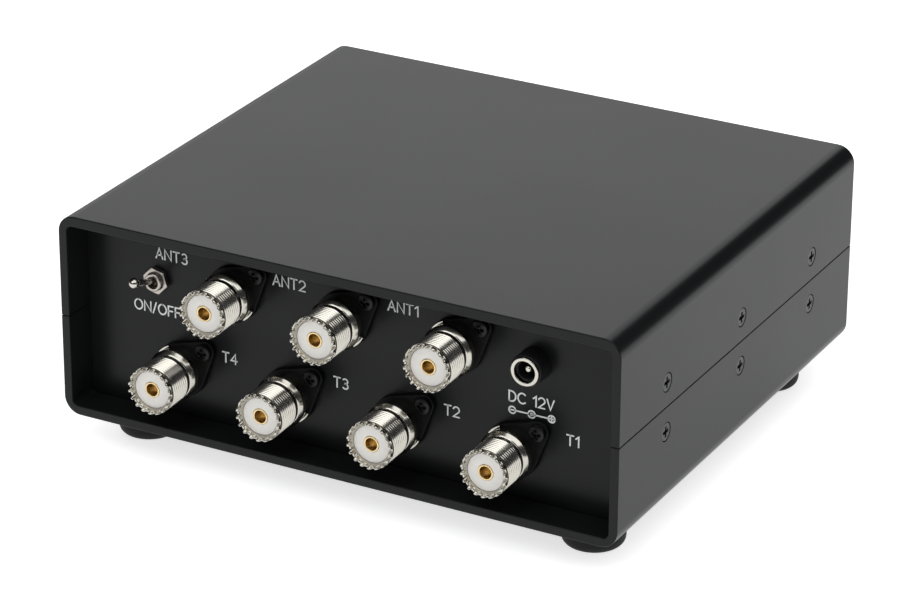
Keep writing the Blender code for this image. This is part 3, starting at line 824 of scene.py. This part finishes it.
def bush_section():
    """Up the threaded outside, then down the mouth that the lever leaves by."""
    rows = np.arange(2.4, 3.6, 0.09) * MM
    thread = np.stack([np.full(len(rows), BUSH_RADIUS), rows], -1)
    below = as_section([(0, -3), (3, -3), (3, 2.3)])
    above = as_section([(2.75, 3.8), (2.15, 3.8), (2.15, 0.5), (0, 0.5)])
    return np.concatenate([below, thread, above])


bush_thread = fine_thread(BUSH_RADIUS, 0.22 * MM, 0.75 * MM, 2.3 * MM, 3.6 * MM)
bush = turned(
    "toggle_bush", bush_section(), bush_place, dull_nickel_finish, "case", relief=bush_thread
)
nut_section = soften(as_section([(3.1, 0.3), (4, 0.3), (4, 2.3), (3.1, 2.3)]), 0.12 * MM)
six_sided = hexagon(NUT_APOTHEM, 2 * MM, math.radians(16))
nut = turned(
    "toggle_nut", nut_section, bush_place, dull_nickel_finish, "case", sides=96, relief=six_sided
)
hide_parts("power_switch_nut")

switch_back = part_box("power_switch_body")[1].y
case_outline = rounded_rectangle(8 * MM, 13 * MM, 0.5 * MM, 3)
switch_case = plate(
    "toggle_case",
    edged(case_outline, FACE_Y - switch_back, -2.3 * MM, 0.3 * MM),
    housing_finish,
    "case",
    at=bush_place,
)
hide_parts("power_switch_body")

TILT = math.radians(18.5)
lever_axis = (0, -math.cos(TILT), math.sin(TILT))
ball = [(0, -1.6), (1.1, -1.2), (1.6, 0), (1.25, 1.0)]
neck = [(0.95, 1.8), (1.0, 5), (1.15, 11)]
tip = arc((0, 12.65 * MM), 1.75 * MM, -42, 90, 14)
lever_section = soften(as_section(ball + neck), 0.6 * MM, 4, closed=False)
lever_section = np.concatenate([lever_section, tip])
lever_section[-1, 0] = 0
lever = turned("toggle_lever", lever_section, pivot, nickel_finish, "power_lever", lever_axis, 40)
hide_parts("power_switch_lever")
print("toggle at", np.round(pivot / MM, 2))

# %% DC inlet
jack_place = on_panel("dc_jack_sleeve", FACE_Y)
housing_corners = as_section(
    [(0, -9), (5.4, -9), (5.4, 5.6), (5.1, 6.5), (4.9, 6.5), (4.9, -2), (1.3, -2), (1.3, -5), (0, -5)]
)
housing = turned(
    "inlet_housing", soften(housing_corners, 0.2 * MM, closed=False), jack_place, housing_finish, "case"
)
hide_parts("dc_jack_body")
sleeve_corners = as_section([(3.55, -1.8), (4.8, -1.8), (4.8, 7.1), (4.6, 7.3), (3.7, 7.3), (3.55, 7.1)])
sleeve = turned("inlet_sleeve", soften(sleeve_corners, 0.2 * MM), jack_place, nickel_finish, "case")
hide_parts("dc_jack_sleeve")
lining_corners = as_section([(3.2, -1.8), (3.53, -1.8), (3.53, 5.2), (3.2, 5.2)])
lining = turned("inlet_lining", lining_corners, jack_place, housing_finish, "case")
pin_corners = as_section([(0, -4.8), (1.2, -4.8), (1.2, 4.6), (0.7, 5.1), (0, 5.1)])
pin_section = soften(pin_corners, 0.3 * MM, closed=False)
pin = turned("inlet_pin", pin_section, jack_place, nickel_finish, "case", sides=32)
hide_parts("dc_jack_pin")
print("inlet at", np.round(np.array(jack_place) / MM, 2))

# %% [markdown]
# ## Feet
# Moulded rubber with a slight taper and a well-rounded lower edge, fixed by a screw in a recess in the
# middle of the sole. The recess is only seen from below.


# %% Feet
def foot(node):
    """One foot; the section starts at its sole, from the recess outwards."""
    low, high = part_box(node)
    place = ((low.x + high.x) / 2, (low.y + high.y) / 2, 0)
    top = base_low.z / MM
    corners = as_section([(0, 1.6), (3.6, 1.6), (3.9, 0), (8.7, 0), (10.3, 1.8), (10.3, top), (0, top)])
    section = soften(corners, 1.6 * MM, 5, closed=False)
    name = node.replace("foot", "rubber_foot")
    piece = turned(name, section, place, rubber_finish, "case", (0, 0, 1))
    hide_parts(node)


for node in sorted(frame["nodes"]):
    if node.startswith("foot"):
        foot(node)

# %% [markdown]
# ## Printed legends
# The words are plain function labels. Screen ink is a line about half a millimetre wide, so each letter
# is one or more strokes, and a stroke is a ribbon: the path moved half a line to each side, with round
# ends. A text object would bring its own weight and serifs; strokes keep that of a drafting alphabet.

# %% Alphabet
ROUND_D = arc((0.22, 0.5), 0.5, 90, -90, 12) * (0.9, 1) + (0.02, 0)
BOWL_2 = arc((0.3, 0.69), 0.31, 160, -35, 12)
BOWL_3_HIGH = arc((0.27, 0.75), 0.25, 140, -90, 10) * (1.05, 1)
BOWL_3_LOW = arc((0.27, 0.26), 0.27, 90, -145, 10) * (1.08, 1)
LETTERS = {
    "A": (0.72, [[(0, 0), (0.36, 1), (0.72, 0)], [(0.13, 0.34), (0.59, 0.34)]]),
    "N": (0.68, [[(0, 0), (0, 1), (0.68, 0), (0.68, 1)]]),
    "T": (0.66, [[(0, 1), (0.66, 1)], [(0.33, 1), (0.33, 0)]]),
    "O": (0.84, [arc((0.42, 0.5), 0.5, 90, 450, 28) * (0.84, 1) + (0.07, 0)]),
    "F": (0.52, [[(0.52, 1), (0, 1), (0, 0)], [(0, 0.52), (0.45, 0.52)]]),
    "D": (0.68, [[(0, 0), (0, 1), *ROUND_D, (0, 0)]]),
    "C": (0.72, [arc((0.42, 0.5), 0.5, 48, 312, 20) * (0.86, 1) + (0.04, 0)]),
    "V": (0.68, [[(0, 1), (0.34, 0), (0.68, 1)]]),
    "U": (0.66, [[(0, 1), *(arc((0.33, 0.33), 0.33, 180, 360, 10)), (0.66, 1)]]),
    "E": (0.54, [[(0.54, 1), (0, 1), (0, 0), (0.54, 0)], [(0, 0.52), (0.46, 0.52)]]),
    "1": (0.3, [[(0, 0.76), (0.28, 1), (0.28, 0)]]),
    "2": (0.6, [[*BOWL_2, (0, 0), (0.6, 0)]]),
    "3": (0.56, [[*BOWL_3_HIGH, *BOWL_3_LOW]]),
    "4": (0.64, [[(0.47, 0), (0.47, 1), (0, 0.3), (0.64, 0.3)]]),
    "/": (0.36, [[(0, -0.06), (0.36, 1.04)]]),
    " ": (0.3, []),
}
LINE = 0.51 * MM
INK = 0.04 * MM
LETTER_GAP = 0.24
CAP_POINTS = 5


def ribbon(path, width):
    """Left and right edges of a stroke with mitred corners and half-round ends, as one outline."""
    path = np.asarray(path, float)
    step = np.diff(path, axis=0)
    step /= np.linalg.norm(step, axis=1)[:, None]
    square = np.stack([-step[:, 1], step[:, 0]], -1)
    before = np.concatenate([square[:1], square])
    after = np.concatenate([square, square[-1:]])
    mitre = before + after
    mitre /= np.maximum((mitre * after).sum(1), 0.35)[:, None]
    half = width / 2
    cap = np.radians(np.linspace(90, -90, CAP_POINTS + 2))[1:-1, None]
    end = path[-1] + half * (np.cos(cap) * step[-1] + np.sin(cap) * square[-1])
    start = path[0] + half * (-np.cos(cap) * step[0] - np.sin(cap) * square[0])
    return np.concatenate([path - half * mitre, end[::-1], (path + half * mitre)[::-1], start[::-1]])


def ink_stroke(path, face_y, outward):
    """A closed film of ink, INK thick, on a panel whose face looks along outward * Y."""
    path = np.asarray(path, float)
    count = len(path)
    outline = ribbon(path * (-outward, 1), LINE)
    total = len(outline)
    front = np.stack([outline[:, 0], np.full(total, face_y + outward * INK), outline[:, 1]], -1)
    back = front - (0, outward * INK * 1.5, 0)
    right = np.arange(count)
    left = total - CAP_POINTS - 1 - right
    strip = np.stack([right[:-1], right[1:], left[1:], left[:-1]], -1)
    far = np.arange(count - 1, count + CAP_POINTS + 1)
    near = np.concatenate([[left[0]], np.arange(total - CAP_POINTS, total), [0]])
    lid = [strip, far[None, :], near[None, :]]
    around = np.arange(total)
    after = np.roll(around, -1)
    wall = np.stack([around, after, after + total, around + total], -1)
    faces = lid + [f[:, ::-1] + total for f in lid] + [wall[:, ::-1]]
    return np.concatenate([front, back]), faces


def print_ink(name, paths, face_y, outward=-1):
    """One piece of ink from many strokes; ink_stroke mirrors those that are read from behind."""
    all_points, all_faces, used = [], [], 0
    for path in paths:
        points, faces = ink_stroke(path, face_y, outward)
        all_faces += [f + used for f in faces]
        all_points.append(points)
        used += len(points)
    piece = make_piece(name, np.concatenate(all_points), all_faces, ink_finish, "case", sharp=60)


def legend(name, text, centre_x, centre_z, cap, face_y, outward=-1):
    """Words centred on a point of a panel, with capitals cap tall."""
    widths = [LETTERS[letter][0] + LETTER_GAP for letter in text]
    cursor = -(sum(widths) - LETTER_GAP) / 2
    centre = (-centre_x * outward, centre_z)
    paths = []
    for letter, width in zip(text, widths):
        for stroke in LETTERS[letter][1]:
            paths.append((np.asarray(stroke) + (cursor, -0.5)) * cap + centre)
        cursor += width
    print_ink(name, paths, face_y, outward)


# %% Legends of the connector panel
CAP = 3.45 * MM
LEGEND_PLACES = {
    "antenna_socket_1": ("ANT1", -19.1, 8.0),
    "antenna_socket_2": ("ANT2", -20.0, 7.6),
    "antenna_socket_3": ("ANT3", -23.4, 7.5),
    "transceiver_socket_1": ("T1", 20.3, 7.5),
    "transceiver_socket_2": ("T2", 18.2, 7.8),
    "transceiver_socket_3": ("T3", 18.5, 8.2),
    "transceiver_socket_4": ("T4", 17.7, 7.5),
}
for name, (words, across, above) in LEGEND_PLACES.items():
    x, _, z = on_panel(name + "_contact", FACE_Y)
    legend(name + "_legend", words, x + across * MM, z + above * MM, CAP, FACE_Y)
legend("switch_legend", "ON/OFF", pivot[0] - 0.7 * MM, pivot[2] - 10.5 * MM, CAP, FACE_Y)
legend("inlet_legend", "DC 12V", jack_place[0] - 1.1 * MM, jack_place[2] - 12.85 * MM, CAP, FACE_Y)


def polarity_mark(centre_x, centre_z):
    """Rings for both poles and a cup with its dot between them: the sign for a centre-positive plug."""
    rings = [(-6.7, 1.15, 0, 360), (0, 1.2, -150, 150), (0, 0.3, 0, 360), (6.9, 1.15, 0, 360)]
    rings = [(x * MM, r * MM, a, b) for x, r, a, b in rings]
    paths = [arc((x, 0), r, a, b, 20) for x, r, a, b in rings]
    lines = [((-5.5, 0), (-1.3, 0)), ((-0.1, 0), (5.7, 0)), ((-7.2, 0), (-6.2, 0))]
    lines += [((6.3, 0), (7.5, 0)), ((6.9, -0.6), (6.9, 0.6))]
    paths += [as_section(line) for line in lines]
    print_ink("polarity_mark", [path + (centre_x, centre_z) for path in paths], FACE_Y)


polarity_mark(jack_place[0] - 1.0 * MM, jack_place[2] - 17.5 * MM)
print("legends printed")

# %% [markdown]
# ## The control end
# The far panel has a smoked window and three caps. The caps get rounded edges and a hidden collar; the
# window keeps its CAD shape, which is a plain pane, and takes a dark glossy finish.


# %% Button caps
def button(node, body, words):
    """A cap with a hidden collar behind the panel, and its word below."""
    low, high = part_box(node)
    place = on_panel(node, CONTROL_Y)
    proud = high.y - CONTROL_Y
    cap = rounded_rectangle(15 * MM, 8 * MM, 1.6 * MM)
    collar = rounded_rectangle(18 * MM, 11 * MM, 1.6 * MM)
    rise = np.radians((0, 25, 50, 75, 90))
    edge = 0.7 * MM
    crown = [(inset(cap, edge * (1 - math.cos(a))), proud - edge * (1 - math.sin(a))) for a in rise]
    layers = [(collar, low.y - CONTROL_Y), (collar, -2.3 * MM), (cap, -2.3 * MM)] + crown
    piece = plate(node + "_cap", layers, cap_finish, body, out=(0, 1, 0), at=place)
    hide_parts(node)
    legend(node + "_legend", words, place[0], place[2] - 9 * MM, CAP, CONTROL_Y, 1)


for node, body, words in (
    ("tune_button", "tune_cap", "TUNE"),
    ("antenna_button", "antenna_cap", "ANT"),
    ("transceiver_button", "transceiver_cap", "T"),
):
    button(node, body, words)
print("buttons capped")


# %% [markdown]
# ## Solids that keep their CAD shape
# The panels, rails, boards, cores, relays and window are right as they are, so each only takes a
# finish. Assigning to the object's material slots leaves the mesh alone.

# %% Finishes for CAD solids
cad_finishes = {
    "connector_panel": panel_finish,
    "control_panel": panel_finish,
    "side_rail_left": rail_finish,
    "side_rail_right": rail_finish,
    "main_board": board_finish,
    "control_board": board_finish,
    "inductor_core_1": ferrite_finish,
    "inductor_core_2": ferrite_finish,
    "relay_1": relay_finish,
    "relay_2": relay_finish,
    "relay_3": relay_finish,
    "display_window": window_finish,
}
for node, finish in cad_finishes.items():
    solid = frame["nodes"][node]
    for slot in solid.material_slots:
        slot.material = finish
print("finished CAD solids", len(cad_finishes))

# %% [markdown]
# ## Studio
# A product shot on white paper. What the camera sees on each face is mostly a reflection: the roof
# mirrors whatever is low behind on the left, the side and the front mirror the paper, and the rounded
# edge between roof and side mirrors whatever is low behind on the right. So a large softbox stands
# behind on the left and nothing stands behind on the right, which turns that edge dark. The object
# stands on a light table, a translucent white sheet lit from below as well as from above, so that
# hardly any shadow is left. An overhead softbox and one in front fill the panel and the sockets.

# %% Floor
floor_finish, _, floor_shader, _ = start_finish("studio_floor", Roughness=0.9)
floor_shader.inputs["Base Color"].default_value = linear("#f4f4f4")
floor_shader.inputs["Specular IOR Level"].default_value = 0.0
floor_shader.inputs["Emission Color"].default_value = linear("#ffffff")
floor_shader.inputs["Emission Strength"].default_value = 0.7
FLOOR_REACH = 1.0
floor_corners = np.array([(-1, -1, 0), (1, -1, 0), (1, 1, 0), (-1, 1, 0)]) * FLOOR_REACH
floor = make_piece("studio_floor", floor_corners, [np.array([(0, 1, 2, 3)])], floor_finish, None)


# %% Lights
def soft_light(name, bearing, height, distance, size, radiance):
    """A rectangle seen from the object at a bearing from +Y towards +X and a height, in degrees.

    Its power in watts is radiance x pi x area.
    """
    bearing, height = math.radians(bearing), math.radians(height)
    direction = Vector(
        (math.sin(bearing) * math.cos(height), math.cos(bearing) * math.cos(height), math.sin(height))
    )
    lamp = bpy.data.lights.new(name, "AREA")
    lamp.shape = "RECTANGLE"
    lamp.size, lamp.size_y = size
    lamp.energy = radiance * math.pi * size[0] * size[1]
    holder = bpy.data.objects.new(name, lamp)
    holder.location = direction * distance
    holder.rotation_euler = direction.to_track_quat("Z", "Y").to_euler()
    bpy.context.scene.collection.objects.link(holder)


soft_light("back_left_softbox", -38, 30, 2.0, (2.6, 1.6), 1.4)
soft_light("overhead_softbox", 112, 66, 2.2, (2.5, 2.5), 1.6)
soft_light("front_softbox", -165, 42, 2.0, (1.4, 1.0), 2.2)

world = bpy.data.worlds.new("studio_surround")
world.use_nodes = True
world.node_tree.nodes["Background"].inputs["Color"].default_value = linear("#3a3a3c")
world.node_tree.nodes["Background"].inputs["Strength"].default_value = 1.0
bpy.context.scene.world = world
